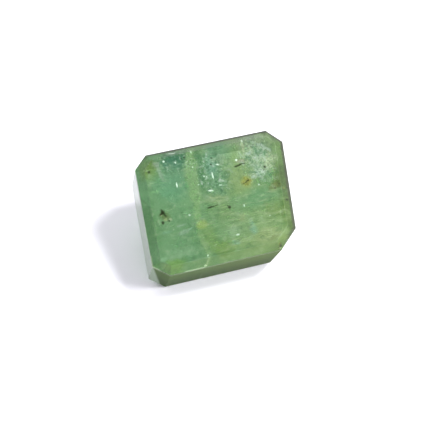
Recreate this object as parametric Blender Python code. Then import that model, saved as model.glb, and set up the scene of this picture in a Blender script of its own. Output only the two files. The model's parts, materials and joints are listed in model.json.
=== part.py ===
"""A grandidierite cut as an octagon with steps: one clear green stone, lying on a facet of its underside.

The stone is cut from a rough block the way a cutter does it, one flat facet after another. It is cut with its
table level and its long axis along X, and then laid down on the large facet at the front of its underside, so
that the table leans towards the front, -Y. The origin is in the middle of the box around it, on the ground.
"""

from collections import namedtuple
import math

import bpy
import bmesh
from mathutils import Matrix, Vector

MM = 0.001

# Driving dimensions, in metres, with the table level and z = 0 at the top of the girdle
LENGTH = 8.2 * MM
WIDTH = 6.8 * MM
CROWN_HEIGHT = 0.34 * MM
GIRDLE_DEPTH = 0.18 * MM
WALL_DEPTH = 2.60 * MM
SHOULDER_DEPTH = 3.00 * MM

# One side of the girdle: the direction that it faces in degrees from +X towards +Y, its distance from the
# stone's axis, the width of its crown facet, and the slopes of its wall, its shoulder and its lowest facet
# against the table in degrees
Side = namedtuple("Side", "direction reach crown_width wall_slope shoulder_slope lowest_slope")

# The outline is a little out of square and its corners are cut unevenly, as the cutter left them
SIDES = {
    "right": Side(-6.5, 0.503 * LENGTH, 0.52 * MM, 87.0, 58.0, 33.0),
    "back_right": Side(42.5, 0.607 * LENGTH, 0.40 * MM, 87.0, 58.0, 34.0),
    "back": Side(89.5, 0.497 * WIDTH, 0.42 * MM, 87.5, 58.0, 30.0),
    "back_left": Side(132.0, 0.563 * LENGTH, 0.45 * MM, 87.0, 58.0, 34.0),
    "left": Side(175.5, 0.497 * LENGTH, 0.44 * MM, 88.5, 62.0, 33.0),
    "front_left": Side(230.5, 0.595 * LENGTH, 0.42 * MM, 88.5, 70.0, 34.0),
    "front": Side(270.5, 0.503 * WIDTH, 0.44 * MM, 88.5, 80.0, 27.0),
    "front_right": Side(313.0, 0.535 * LENGTH, 0.48 * MM, 85.0, 66.0, 34.0),
}

# A small round pit on an edge of the girdle, as a knock leaves it: the side, how far it is along the side from
# the side's middle, its radius and how deep it bites
Chip = namedtuple("Chip", "side along radius bite")

CHIPS = (
    Chip("front_right", 0.35 * MM, 0.20 * MM, 0.05 * MM),
    Chip("front", -0.25 * MM, 0.22 * MM, 0.04 * MM),
    Chip("back_left", -0.40 * MM, 0.16 * MM, 0.03 * MM),
)

# Points closer than this are one point
WELD = 1e-7


def clear_scene():
    """Remove whatever the file starts with."""
    for thing in list(bpy.data.objects):
        bpy.data.objects.remove(thing, do_unlink=True)


def new_collection(name):
    """Add a collection to the scene."""
    collection = bpy.data.collections.new(name)
    bpy.context.scene.collection.children.link(collection)
    return collection


def stone_material():
    """Clear green, polished."""
    material = bpy.data.materials.new("grandidierite")
    material.use_nodes = True
    shader = material.node_tree.nodes["Principled BSDF"]
    shader.inputs["Base Color"].default_value = (0.22, 0.42, 0.24, 1.0)
    shader.inputs["Roughness"].default_value = 0.06
    shader.inputs["Metallic"].default_value = 0.0
    shader.inputs["IOR"].default_value = 1.6
    shader.inputs["Transmission Weight"].default_value = 0.8
    return material


def level_direction(degrees):
    """The level direction at this angle from +X."""
    angle = math.radians(degrees)
    return Vector((math.cos(angle), math.sin(angle), 0.0))


def inset(height, slope):
    """How far a facet of this slope runs inwards over this height."""
    return height / math.tan(math.radians(slope))


def wall_foot(side):
    """How far from the axis a side's wall ends."""
    return side.reach - inset(WALL_DEPTH - GIRDLE_DEPTH, side.wall_slope)


def shoulder_foot(side):
    """How far from the axis a side's shoulder ends."""
    return wall_foot(side) - inset(SHOULDER_DEPTH - WALL_DEPTH, side.shoulder_slope)


def lower_facet(side, reach, depth, slope):
    """A facet of the underside, through the line at this reach and depth: a point on it and its normal."""
    outward = level_direction(side.direction)
    down = Vector((0.0, 0.0, -1.0))
    tilt = math.radians(slope)
    return outward * reach + down * depth, outward * math.sin(tilt) + down * math.cos(tilt)


def lowest_facet(side):
    """The facet of a side that runs from the shoulder to the keel."""
    return lower_facet(side, shoulder_foot(side), SHOULDER_DEPTH, side.lowest_slope)


def side_facets(side):
    """The five facets of a side, from the girdle up to the crown and down to the keel."""
    outward = level_direction(side.direction)
    girdle_top = outward * side.reach
    crown = outward * CROWN_HEIGHT + Vector((0.0, 0.0, side.crown_width))
    return [
        (girdle_top, outward),
        (girdle_top, crown.normalized()),
        lower_facet(side, side.reach, GIRDLE_DEPTH, side.wall_slope),
        lower_facet(side, wall_foot(side), WALL_DEPTH, side.shoulder_slope),
        lowest_facet(side),
    ]


def cut_facet(mesh, point, normal):
    """Grind one flat facet: drop what stands past its plane and close the stone again."""
    everything = list(mesh.verts) + list(mesh.edges) + list(mesh.faces)
    cut = bmesh.ops.bisect_plane(
        mesh, geom=everything, dist=WELD / 10, plane_co=point, plane_no=normal, clear_outer=True
    )
    rim = [item for item in cut["geom_cut"] if isinstance(item, bmesh.types.BMEdge)]
    if rim:
        bmesh.ops.contextual_create(mesh, geom=rim)


def cut_stone_mesh():
    """The whole stone, cut from a rough block with its table level."""
    mesh = bmesh.new()
    rough_block = Matrix.Diagonal((1.4 * LENGTH, 1.4 * LENGTH, 1.6 * LENGTH, 1.0))
    bmesh.ops.create_cube(mesh, size=1.0, matrix=rough_block)
    cut_facet(mesh, Vector((0.0, 0.0, CROWN_HEIGHT)), Vector((0.0, 0.0, 1.0)))
    for side in SIDES.values():
        for point, normal in side_facets(side):
            cut_facet(mesh, point, normal)
    bmesh.ops.remove_doubles(mesh, verts=mesh.verts, dist=WELD)
    bmesh.ops.recalc_face_normals(mesh, faces=mesh.faces)
    return mesh


def lying_matrix(mesh):
    """The turn and shift that lay the stone down, with the origin under the middle of its box."""
    point, normal = lowest_facet(SIDES["front"])
    turn = normal.rotation_difference(Vector((0.0, 0.0, -1.0))).to_matrix()
    corners = [turn @ vertex.co for vertex in mesh.verts]
    low = Vector([min(corner[axis] for corner in corners) for axis in range(3)])
    high = Vector([max(corner[axis] for corner in corners) for axis in range(3)])
    middle = (low + high) / 2
    ground = (turn @ point).z
    return Matrix.Translation((-middle.x, -middle.y, -ground)) @ turn.to_4x4()


def chip_cutter(index, chip, lying, cutters):
    """The ball that takes a chip out of an edge."""
    side = SIDES[chip.side]
    outward = level_direction(side.direction)
    sideways = level_direction(side.direction + 90.0)
    centre = outward * (side.reach + chip.radius - chip.bite) + sideways * chip.along
    turned = Matrix.Rotation(0.7 * (index + 1), 4, Vector((0.3, 0.5, 0.8)))
    mesh = bmesh.new()
    bmesh.ops.create_icosphere(mesh, subdivisions=2, radius=chip.radius)
    bmesh.ops.transform(mesh, matrix=lying @ Matrix.Translation(centre) @ turned, verts=mesh.verts)
    data = bpy.data.meshes.new("chip_cutter_%d" % (index + 1))
    mesh.to_mesh(data)
    mesh.free()
    cutter = bpy.data.objects.new(data.name, data)
    cutter.hide_render = True
    cutter.display_type = "WIRE"
    cutters.objects.link(cutter)
    return cutter


def add_stone(parts, cutters):
    """Cut the stone, lay it down and take the chips out of its edges."""
    mesh = cut_stone_mesh()
    lying = lying_matrix(mesh)
    bmesh.ops.transform(mesh, matrix=lying, verts=mesh.verts)
    data = bpy.data.meshes.new("cut_stone")
    mesh.to_mesh(data)
    mesh.free()
    data.materials.append(stone_material())
    stone = bpy.data.objects.new("cut_stone", data)
    parts.objects.link(stone)
    for index, chip in enumerate(CHIPS):
        bite = stone.modifiers.new("chip_%d" % (index + 1), "BOOLEAN")
        bite.operation = "DIFFERENCE"
        bite.solver = "EXACT"
        bite.object = chip_cutter(index, chip, lying, cutters)


def main():
    clear_scene()
    parts = new_collection("grandidierite")
    cutters = new_collection("cutters")
    add_stone(parts, cutters)


main()
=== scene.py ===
"""A cut grandidierite on white ground: one polished stone and what grew inside it.

The file is laid out as a Blender add-on and is run as a script. Places inside the stone are given in
millimetres along its table, across its table and down from it. Each piece is modelled in millimetres, because
Blender's merge distances suit large things, and is shrunk to metres when it is finished.
"""

from collections import namedtuple
import json
import math
import random

import bpy
from mathutils import Matrix, Vector


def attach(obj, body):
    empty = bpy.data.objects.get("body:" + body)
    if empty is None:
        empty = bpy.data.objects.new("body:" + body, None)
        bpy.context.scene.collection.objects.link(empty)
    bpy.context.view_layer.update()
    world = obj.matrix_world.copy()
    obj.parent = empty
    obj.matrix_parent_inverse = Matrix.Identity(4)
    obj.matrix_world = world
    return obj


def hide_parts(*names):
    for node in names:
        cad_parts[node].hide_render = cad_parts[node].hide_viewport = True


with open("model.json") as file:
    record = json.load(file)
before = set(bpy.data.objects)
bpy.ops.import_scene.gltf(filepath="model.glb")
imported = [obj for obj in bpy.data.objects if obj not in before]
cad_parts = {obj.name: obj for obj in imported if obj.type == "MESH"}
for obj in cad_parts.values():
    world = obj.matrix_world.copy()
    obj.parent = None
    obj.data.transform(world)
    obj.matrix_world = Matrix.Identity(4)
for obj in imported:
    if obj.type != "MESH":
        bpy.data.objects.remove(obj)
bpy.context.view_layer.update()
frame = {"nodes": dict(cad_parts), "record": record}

bl_info = {
    "name": "Cut grandidierite",
    "version": (1, 0, 0),
    "blender": (4, 5, 0),
    "location": "3D View > Sidebar > Gemstone",
    "description": "Polishes an octagon step cut of grandidierite and grows its inclusions",
    "category": "Add Mesh",
}

MM = 0.001
STONE_NODE = "cut_stone"
BODY = "root"

TABLE_MOUNT = next(mount for mount in frame["record"]["mounts"] if mount["name"] == "table")
TABLE_MIDDLE = Vector(TABLE_MOUNT["pos_m"]) / MM
TABLE_UP = Vector(TABLE_MOUNT["axis"]).normalized()
TABLE_ALONG = (Vector((1.0, 0.0, 0.0)) - TABLE_UP * TABLE_UP.x).normalized()
TABLE_ACROSS = TABLE_UP.cross(TABLE_ALONG)
TABLE_TURN = Matrix((TABLE_ALONG, TABLE_ACROSS, TABLE_UP)).transposed()
TABLE_PLACE = Matrix.Translation(TABLE_MIDDLE) @ TABLE_TURN.to_4x4()

# Points closer than this are one point, in millimetres
WELD = 0.0005

# How a look from the front left goes on inside the stone, in millimetres along and across the table for each
# millimetre down
SIGHT = Vector((0.12, 0.15, -1.0))

# Zones that the crystal grew with: the name, the middle and half the size along and across the table, the
# turn in degrees, the colour, how much of it shows and how ragged its edge is
Zone = namedtuple("Zone", "name along across half_length half_width turn colour share ragged")

ZONES = tuple(Zone(*row) for row in (
    ("shaded left rim", -4.05, -0.55, 0.60, 1.25, 0.0, (0.08, 0.25, 0.07), 0.60, 0.5),
    ("olive back left corner", -3.25, 2.55, 0.52, 0.60, 0.0, (0.155, 0.275, 0.055), 0.85, 0.6),
    ("teal behind the left", -1.8, 2.65, 0.75, 0.42, 0.0, (0.045, 0.19, 0.12), 0.85, 0.5),
    ("teal middle", -2.1, 1.4, 1.0, 0.9, 0.0, (0.13, 0.36, 0.20), 0.55, 0.5),
    ("pale end of the streak", -2.76, 2.66, 0.19, 0.17, 0.0, (0.38, 0.47, 0.37), 0.75, 0.3),
    ("mottled cloud", 0.20, 1.45, 0.75, 1.25, 0.0, (0.13, 0.33, 0.17), 0.75, 0.7),
    ("teal smear in the cloud", 0.13, 1.95, 0.30, 0.60, -8.0, (0.20, 0.45, 0.30), 0.70, 0.5),
    ("teal behind the middle", 0.75, 2.75, 0.85, 0.55, 0.0, (0.16, 0.37, 0.22), 0.65, 0.5),
    ("pale above the feather", 2.45, 2.95, 0.95, 0.35, 0.0, (0.36, 0.48, 0.30), 0.60, 0.6),
    ("pale speckle", 0.60, 2.20, 0.50, 0.32, 0.0, (0.28, 0.41, 0.26), 0.50, 0.8),
    ("light back right", 3.25, 2.50, 0.60, 0.50, 0.0, (0.34, 0.48, 0.27), 0.55, 0.5),
    ("pale feather", 2.75, 1.9, 0.80, 1.15, 0.0, (0.30, 0.44, 0.28), 0.70, 0.9),
    ("grey of the feather", 2.88, 2.42, 0.36, 0.30, 0.0, (0.25, 0.40, 0.24), 0.60, 0.5),
    ("crumbs of the feather", 3.36, 1.55, 0.42, 0.30, 0.0, (0.38, 0.49, 0.28), 0.80, 0.8),
    ("blue foot of the feather", 2.72, 0.98, 0.36, 0.42, 10.0, (0.34, 0.52, 0.38), 0.60, 0.7),
    ("warm patch", 1.60, 0.95, 0.75, 0.75, 0.0, (0.27, 0.41, 0.16), 0.60, 0.5),
    ("green before the feather", 3.0, 0.55, 0.75, 0.45, 0.0, (0.10, 0.28, 0.09), 0.65, 0.6),
    ("brown right rim", 3.75, 0.1, 0.48, 1.2, 0.0, (0.11, 0.18, 0.04), 0.80, 0.4),
    ("olive low right rim", 3.65, -1.6, 0.40, 1.0, 0.0, (0.17, 0.29, 0.05), 0.75, 0.4),
    ("glow at the front", -3.15, -3.05, 0.55, 0.48, 0.0, (0.20, 0.40, 0.08), 0.70, 0.4),
    ("light behind the glow", -2.75, -2.42, 0.80, 0.28, 0.0, (0.27, 0.48, 0.26), 0.60, 0.5),
    ("pale blotch at the front", -3.67, -2.59, 0.24, 0.10, 10.0, (0.26, 0.50, 0.27), 0.70, 0.2),
    ("olive before the spot", -0.95, -1.95, 0.45, 0.75, 0.0, (0.21, 0.37, 0.10), 0.60, 0.5),
    ("olive patch before the middle", -0.35, -2.75, 0.6, 0.5, 0.0, (0.18, 0.33, 0.06), 0.70, 0.5),
    ("light before the middle", 0.9, -1.6, 1.2, 0.7, 0.0, (0.27, 0.46, 0.22), 0.50, 0.6),
    ("light edge of the table in front", 1.5, -2.62, 1.9, 0.30, 0.0, (0.30, 0.46, 0.19), 0.60, 0.5),
    ("pale bubbles", 0.05, 0.08, 0.60, 0.22, -8.0, (0.30, 0.45, 0.20), 0.65, 0.6),
    ("shade by the bubbles", 0.95, -0.50, 0.45, 0.45, 0.0, (0.17, 0.36, 0.17), 0.40, 0.5),
    ("pale patch at the right", 0.46, -1.85, 0.36, 0.22, 0.0, (0.32, 0.51, 0.28), 0.70, 0.6),
    ("upright pale patch", 1.54, -1.92, 0.17, 0.38, 0.0, (0.24, 0.48, 0.30), 0.75, 0.4),
    ("level pale patch", 0.39, -2.53, 0.30, 0.14, 0.0, (0.32, 0.55, 0.36), 0.80, 0.4),
    ("yellow patch at the right", 1.12, -1.25, 0.22, 0.24, 0.0, (0.36, 0.48, 0.22), 0.60, 0.5),
    ("warm front right", 2.35, -2.55, 0.90, 0.52, 0.0, (0.35, 0.465, 0.20), 0.70, 0.6),
    ("warm right", 2.6, -1.5, 0.7, 0.45, 0.0, (0.28, 0.44, 0.19), 0.45, 0.6),
    ("olive inside the right rim", 3.0, -1.05, 0.45, 0.60, 0.0, (0.18, 0.31, 0.09), 0.85, 0.6),
    ("cool middle right", 2.3, -0.35, 1.3, 0.55, 0.0, (0.12, 0.33, 0.15), 0.70, 0.4),
    ("iron stain", 1.84, 0.68, 0.31, 0.30, 0.0, (0.36, 0.42, 0.08), 0.85, 0.10),
    ("olive among the crystals", -3.02, -0.28, 0.30, 0.22, -40.0, (0.12, 0.19, 0.05), 0.75, 0.3),
    ("brown by the needle", 1.84, 1.85, 0.30, 0.10, -6.0, (0.36, 0.36, 0.24), 0.75, 0.1),
    ("brown mottle low at the right", 2.47, -2.71, 0.26, 0.12, 10.0, (0.19, 0.26, 0.09), 0.50, 0.4),
    ("brown mottle at the right", 3.35, 0.1, 0.36, 0.22, 20.0, (0.14, 0.17, 0.04), 0.75, 0.4),
))

# Soft strokes in the milk, from one point on the table to another, with their width, colour and share
Stroke = namedtuple("Stroke", "name start end width colour share")

STROKES = tuple(Stroke(*row) for row in (
    ("pale streak at the left", (-2.72, 2.62), (-2.60, 1.75), 0.20, (0.30, 0.45, 0.30), 0.65),
    ("glint on the back crown", (-1.96, 3.17), (-1.56, 3.14), 0.07, (0.75, 0.90, 0.75), 0.80),
    ("green beside the veil", (-0.44, 2.85), (-0.36, 2.30), 0.36, (0.06, 0.21, 0.08), 0.65),
    ("green along the veil", (-0.38, 2.20), (-0.62, 0.80), 0.34, (0.06, 0.21, 0.08), 0.60),
    ("upright streak of the feather", (2.18, 2.98), (2.09, 2.16), 0.12, (0.46, 0.60, 0.34), 0.80),
    ("second upright streak", (2.39, 2.67), (2.60, 2.16), 0.11, (0.40, 0.54, 0.34), 0.70),
    ("white slant of the feather", (3.00, 2.58), (3.42, 2.20), 0.20, (0.42, 0.60, 0.42), 0.65),
    ("slant back", (3.22, 2.28), (2.85, 1.80), 0.13, (0.44, 0.58, 0.44), 0.75),
    ("white end of the slant", (3.30, 2.28), (3.55, 2.10), 0.16, (0.48, 0.66, 0.48), 0.70),
    ("top of the feather", (2.55, 2.85), (2.95, 2.70), 0.09, (0.40, 0.58, 0.38), 0.70),
    ("dark of the feather", (2.70, 2.50), (2.80, 2.15), 0.16, (0.15, 0.32, 0.16), 0.60),
    ("dark under the slant", (3.05, 2.20), (3.20, 1.90), 0.16, (0.13, 0.30, 0.15), 0.60),
    ("short pale slant", (2.66, 2.10), (2.82, 1.86), 0.10, (0.42, 0.60, 0.42), 0.75),
    ("pale hook", (3.14, 1.42), (3.22, 1.62), 0.09, (0.46, 0.62, 0.38), 0.75),
    ("dark at the right of the foot", (3.10, 0.98), (3.25, 0.60), 0.18, (0.09, 0.24, 0.11), 0.60),
    ("dark before the needle", (2.10, 1.55), (2.30, 1.30), 0.14, (0.15, 0.31, 0.12), 0.55),
    ("arc of the feather", (2.36, 1.93), (2.94, 1.73), 0.09, (0.42, 0.55, 0.38), 0.75),
    ("crumbs by the hole", (2.96, 1.60), (3.70, 1.62), 0.14, (0.44, 0.60, 0.34), 0.70),
    ("foot of the feather", (2.50, 1.15), (2.70, 0.70), 0.20, (0.42, 0.60, 0.45), 0.70),
    ("slant at the foot", (3.10, 1.06), (2.72, 0.66), 0.10, (0.38, 0.54, 0.38), 0.60),
    ("brown chips at the front right", (2.82, -3.06), (2.66, -3.36), 0.14, (0.11, 0.13, 0.05), 0.70),
    ("olive middle of the iron stain", (1.80, 0.58), (1.98, 0.74), 0.20, (0.17, 0.20, 0.03), 0.70),
    ("bubbles in a row", (-0.32, 0.20), (0.48, 0.06), 0.08, (0.40, 0.56, 0.28), 0.75),
    ("second row of bubbles", (-0.20, 0.02), (0.35, -0.08), 0.06, (0.38, 0.53, 0.26), 0.65),
    ("pale crumb by the crystals", (-3.22, -0.14), (-3.14, -0.18), 0.10, (0.38, 0.50, 0.24), 0.75),
    ("pale crumbs by the crystals", (-3.05, -0.40), (-2.95, -0.50), 0.14, (0.36, 0.48, 0.22), 0.75),
    ("pale end of the crystals", (-2.80, -0.46), (-2.70, -0.52), 0.15, (0.40, 0.54, 0.32), 0.75),
    ("cool streak", (-2.50, -0.96), (-2.04, -0.91), 0.10, (0.32, 0.50, 0.34), 0.55),
    ("second cool streak", (-2.48, -1.39), (-1.98, -1.29), 0.24, (0.32, 0.50, 0.34), 0.55),
    ("faint cool streak", (-3.32, -1.15), (-2.92, -1.12), 0.14, (0.22, 0.45, 0.26), 0.60),
    ("short cool streak", (-1.92, -1.24), (-1.70, -1.19), 0.10, (0.27, 0.50, 0.32), 0.65),
    ("yellow-green spot", (-1.19, -1.02), (-1.13, -1.30), 0.54, (0.36, 0.52, 0.14), 0.65),
    ("light line before the veil", (-1.47, -1.55), (-1.36, -2.20), 0.16, (0.28, 0.45, 0.20), 0.35),
    ("light line at the front", (-1.36, -2.20), (-1.24, -2.80), 0.13, (0.32, 0.49, 0.24), 0.30),
    ("light line to the girdle", (-1.22, -3.00), (-1.46, -3.30), 0.09, (0.44, 0.60, 0.38), 0.75),
))

# Platelets that glint: where they are seen on the table, their length and width, their turn in degrees, how
# deep they lie and how bright they are, as the share of the painted highlight in the milk over them
Glint = namedtuple("Glint", "along across length width turn depth brightness")

GLINTS = tuple(Glint(*row) for row in (
    (-0.21, 0.60, 0.28, 0.09, -10.0, 0.25, 1.0),
    (-2.30, 2.75, 0.12, 0.11, 0.0, 0.20, 1.0),
    (-1.69, 2.54, 0.09, 0.09, 0.0, 0.25, 0.8),
    (-1.93, 1.31, 0.08, 0.28, -6.0, 0.30, 1.0),
    (0.12, 1.40, 0.08, 0.38, -2.0, 0.30, 1.0),
    (-0.35, 1.46, 0.08, 0.09, 0.0, 0.45, 0.7),
    (-0.24, 1.41, 0.07, 0.07, 0.0, 0.45, 0.6),
    (0.53, 1.95, 0.18, 0.09, -12.0, 0.25, 0.80),
    (1.60, 1.98, 0.13, 0.12, 0.0, 0.20, 1.0),
    (2.18, 2.95, 0.09, 0.13, 0.0, 0.20, 0.6),
    (2.46, 0.36, 0.09, 0.09, 0.0, 0.30, 0.8),
    (-0.76, 1.07, 0.09, 0.07, 0.0, 0.35, 0.5),
    (0.39, 0.79, 0.16, 0.07, -12.0, 0.35, 0.5),
    (1.37, -0.61, 0.07, 0.16, -8.0, 0.30, 0.6),
    (0.61, -2.12, 0.19, 0.10, 0.0, 0.25, 0.7),
    (-1.68, -0.48, 0.12, 0.11, 10.0, 0.30, 0.5),
    (2.60, -1.47, 0.07, 0.06, 0.0, 0.30, 0.5),
    (-1.28, -2.89, 0.12, 0.10, 40.0, 0.35, 0.4),
    (-1.51, -3.34, 0.14, 0.10, 10.0, 0.45, 0.6),
    (-0.71, 2.94, 0.08, 0.11, 0.0, 0.30, 0.5),
    (-0.83, 2.10, 0.07, 0.07, 0.0, 0.30, 0.7),
    (2.72, -3.30, 0.08, 0.07, 0.0, 0.45, 0.7),
))

# Dark needles, as the points that each runs through on the table, with the depth and the thickness
Needle = namedtuple("Needle", "points depth thickness")

NEEDLES = tuple(Needle(*row) for row in (
    (((1.42, 1.62), (1.56, 1.64), (1.78, 1.68)), 0.30, 0.066),
    (((1.74, 1.68), (1.90, 1.72), (2.02, 1.68)), 0.33, 0.034),
    (((-0.60, -0.32), (-0.28, -0.29)), 0.35, 0.052),
    (((-0.30, -0.30), (-0.04, -0.26)), 0.38, 0.026),
    (((1.60, 0.57), (1.80, 0.63), (1.95, 0.72)), 0.32, 0.026),
    (((-3.11, 0.14), (-3.06, -0.04)), 0.35, 0.085),
    (((-3.25, -0.13), (-3.08, -0.05)), 0.40, 0.075),
    (((-3.05, -0.08), (-2.94, -0.27)), 0.38, 0.055),
))

# Dark crystals: where they are seen on the table, their size and how deep they lie
Speck = namedtuple("Speck", "along across size depth")

SPECKS = tuple(Speck(*row) for row in (
    (0.56, -0.52, 0.160, 0.30),
    (0.48, -0.42, 0.050, 0.40),
    (-3.22, 2.34, 0.135, 0.30),
    (-3.06, -0.03, 0.180, 0.35),
    (-3.20, -0.58, 0.150, 0.35),
    (-2.84, -0.55, 0.080, 0.45),
    (3.04, 1.25, 0.115, 0.40),
    (2.94, 1.10, 0.060, 0.50),
    (1.94, 0.71, 0.070, 0.30),
    (0.29, 2.38, 0.090, 0.60),
    (0.18, 2.03, 0.080, 0.45),
    (-1.16, 2.73, 0.080, 0.50),
    (-1.31, 2.70, 0.060, 0.50),
    (3.27, -0.03, 0.075, 0.50),
    (3.54, 0.15, 0.060, 0.50),
    (3.75, -0.77, 0.120, 0.50),
    (2.80, -3.18, 0.090, 0.75),
))

# Brown iron stains along small cracks, in the same way
STAINS = tuple(Speck(*row) for row in (
    (1.66, 0.66, 0.18, 0.40),
    (1.84, 0.86, 0.16, 0.44),
    (1.98, 0.66, 0.16, 0.42),
    (1.84, 0.50, 0.14, 0.46),
    (3.76, -0.11, 0.16, 0.50),
    (2.76, -3.10, 0.10, 0.80),
))

# The healed veil crosses the stone from back to front: how far across the table, how far along it, and how
# wide it is
VEIL_PATH = (
    (3.3, -0.68, 0.30), (2.96, -0.73, 0.38), (2.24, -0.92, 0.62), (1.51, -1.00, 0.70), (1.0, -1.02, 0.70),
    (0.4, -1.10, 0.50), (-0.45, -1.22, 0.36), (-1.5, -1.38, 0.26), (-2.8, -1.16, 0.26), (-3.5, -1.40, 0.22),
)
VEIL_COLOUR = (0.25, 0.45, 0.19)

# A limit inside the stone: the direction along, across and above the table in which it is passed, and where a
# mask of what lies past it starts and is full, in millimetres
Limit = namedtuple("Limit", "direction start full")

ALONG = (1.0, 0.0, 0.0)
ACROSS = (0.0, 1.0, 0.0)
UPWARDS = (0.0, 0.0, 1.0)

UNDER_TABLE = Limit(UPWARDS, -0.005, -0.03)
OVER_GIRDLE = Limit(UPWARDS, -0.345, -0.325)
UNDER_GIRDLE = Limit(UPWARDS, -0.325, -0.350)

# What the crown's colour is multiplied by, as painted shade on the crown facets, because it mirrors more of
# the tent than the table does: in front, at the right, at the left and at the front right
CROWN_PAINTED_SHADE = (
    (Limit(ACROSS, -2.4, -2.8), (0.81, 0.83, 0.62)),
    (Limit(ALONG, 3.2, 3.6), (0.55, 0.61, 0.44)),
    (Limit((1.0, -0.3, 0.0), -2.85, -3.25), (0.76, 1.02, 0.76)),
    (Limit((1.0, -1.0, 0.0), 5.3, 5.8), (0.81, 0.82, 0.71)),
)

# The outermost strip of the crown at the far side, where the ground girdle shows through the thin edge
RIM_STRIP = Limit(UPWARDS, -0.19, -0.26)
FAR_SIDE = Limit((0.9, 1.0, 0.0), -1.2, 1.6)
RIM_COLOUR = (0.075, 0.080, 0.050)

# Painted shade on the front walls, which face down and away from the lights: olive at the girdle, partly the
# stone's own colour and partly painted shade, painted darker near the ground and deepened towards the left
FRONT_WALL = Limit(ACROSS, -2.15, -2.60)
LOW_WALL_SHADE = Limit(UPWARDS, -0.5, -2.4)
WALL_SHADE_TO_LEFT = Limit(ALONG, 2.0, -3.6)
WALL_OLIVE_AND_SHADE = (0.10, 0.165, 0.03)
WALL_SHADOW_COLOUR = (0.060, 0.095, 0.022)
WALL_LEFT_SHADE = (0.74, 0.80, 0.70)

# Painted light on the left wall: pale where it mirrors and lets through the white ground, past a slanted line
# in front
LEFT_WALL = Limit(ALONG, -3.6, -3.8)
LEFT_OF_SLANT = Limit((1.0, 0.0, 0.22), -4.28, -4.44)
BEHIND_CORNER = Limit(ACROSS, -2.86, -2.76)
LEFT_WALL_PAINTED_LIGHT = (0.52, 0.64, 0.50)

# Painted highlights on the front girdle, where its edge catches the light: stretches from and to along the
# stone
GIRDLE_HIGHLIGHTS = ((-4.4, -3.98), (-2.65, -1.55))
GIRDLE_HIGHLIGHT_LINE = (Limit(UPWARDS, -0.28, -0.33), Limit(UPWARDS, -0.42, -0.37), Limit(ACROSS, -2.0, -2.3))
GIRDLE_HIGHLIGHT_ENDS = 0.1
GIRDLE_HIGHLIGHT_COLOUR = (0.44, 0.62, 0.34)

# What a noise brings out in the milk: the values at which it starts and is full, its colour and its share
Tone = namedtuple("Tone", "start full colour share")

BLOTS = (Tone(0.50, 0.30, (0.07, 0.20, 0.075), 0.55), Tone(0.52, 0.74, (0.42, 0.60, 0.36), 0.55))
CRUMBS = (Tone(0.49, 0.32, (0.07, 0.21, 0.10), 0.75), Tone(0.54, 0.70, (0.50, 0.66, 0.52), 0.75))
DOTS = (Tone(0.46, 0.36, (0.05, 0.16, 0.08), 0.55), Tone(0.57, 0.67, (0.42, 0.60, 0.46), 0.55))

# Light and dark silk in the milk, each with its turn from the long side
SILK = ((0.05, Tone(0.50, 0.72, (0.46, 0.60, 0.32), 1.0)), (0.02, Tone(0.48, 0.30, (0.12, 0.25, 0.07), 1.0)))

# The milk over what lies close under the table; the last is a painted highlight where the platelets
# glint
STAIN_MILK = (0.28, 0.31, 0.06)
DARK_MILK = (0.018, 0.034, 0.006)
PAINTED_GLINT_MILK = (0.78, 0.98, 0.80)

# The finishes of the stone: the name, the roughness, how deep its wear is in millimetres, how clear it is,
# how much it shines and how much dust of the grinding lies on it. How clear the polished facets are is a
# setting.
Finish = namedtuple("Finish", "name roughness wear clearness shine dust")

POLISHED = Finish("polished grandidierite", 0.05, 0.006, None, 0.5, 0.0)
GROUND = Finish("ground girdle", 0.8, 0.05, 0.5, 0.5, 0.3)
SATIN = Finish("satin wall", 0.85, 0.03, 0.5, 0.06, 0.0)
DUST_COLOUR = (0.34, 0.40, 0.26)

# How far a face may lean, as the cosine of its angle to the table's upright, to belong to the girdle, and
# between which values and how far towards the front it is a satin wall
GIRDLE_LEAN = 0.012
SATIN_LEAN = (-0.15, 0.0)
SATIN_FACING = -0.5

# The light tent: its colour, and where its opening is, as an azimuth from the front towards the right, an
# elevation, and how far it reaches from its middle
SKY_COLOUR = (0.97, 0.945, 1.0)
OPENING = (math.radians(41.0), math.radians(73.0))
OPENING_REACH = math.radians(24.0)

# The soft lights: the azimuth from the front towards the right and the elevation in degrees, and the distance
# and the size in metres
Lamp = namedtuple("Lamp", "azimuth elevation distance size")

KEY_LAMP = Lamp(60.0, 63.0, 0.4, 0.08)
FILL_LAMP = Lamp(58.0, 22.0, 0.4, 0.12)

# The white card under the stone, and the point that the camera looks at over the ground and beside its axis
CARD_SIZE = 1.2
CARD_DROP = 0.02 * MM
AIM_HEIGHT = 2.8 * MM
FRAME_SHIFT = -0.175 * MM
SENSOR_WIDTH = 36.0


def number_setting(name, description, default, **limits):
    """A number in a group of settings."""
    return bpy.props.FloatProperty(name=name, description=description, default=default, **limits)


def count_setting(name, description, default):
    """A number of copies in a group of settings."""
    return bpy.props.IntProperty(name=name, description=description, default=default, min=1, max=1500)


def colour_setting(name, description, default):
    """A colour in a group of settings."""
    return bpy.props.FloatVectorProperty(
        name=name, description=description, default=default, size=3, min=0.0, max=1.0, subtype="COLOR",
    )


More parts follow.
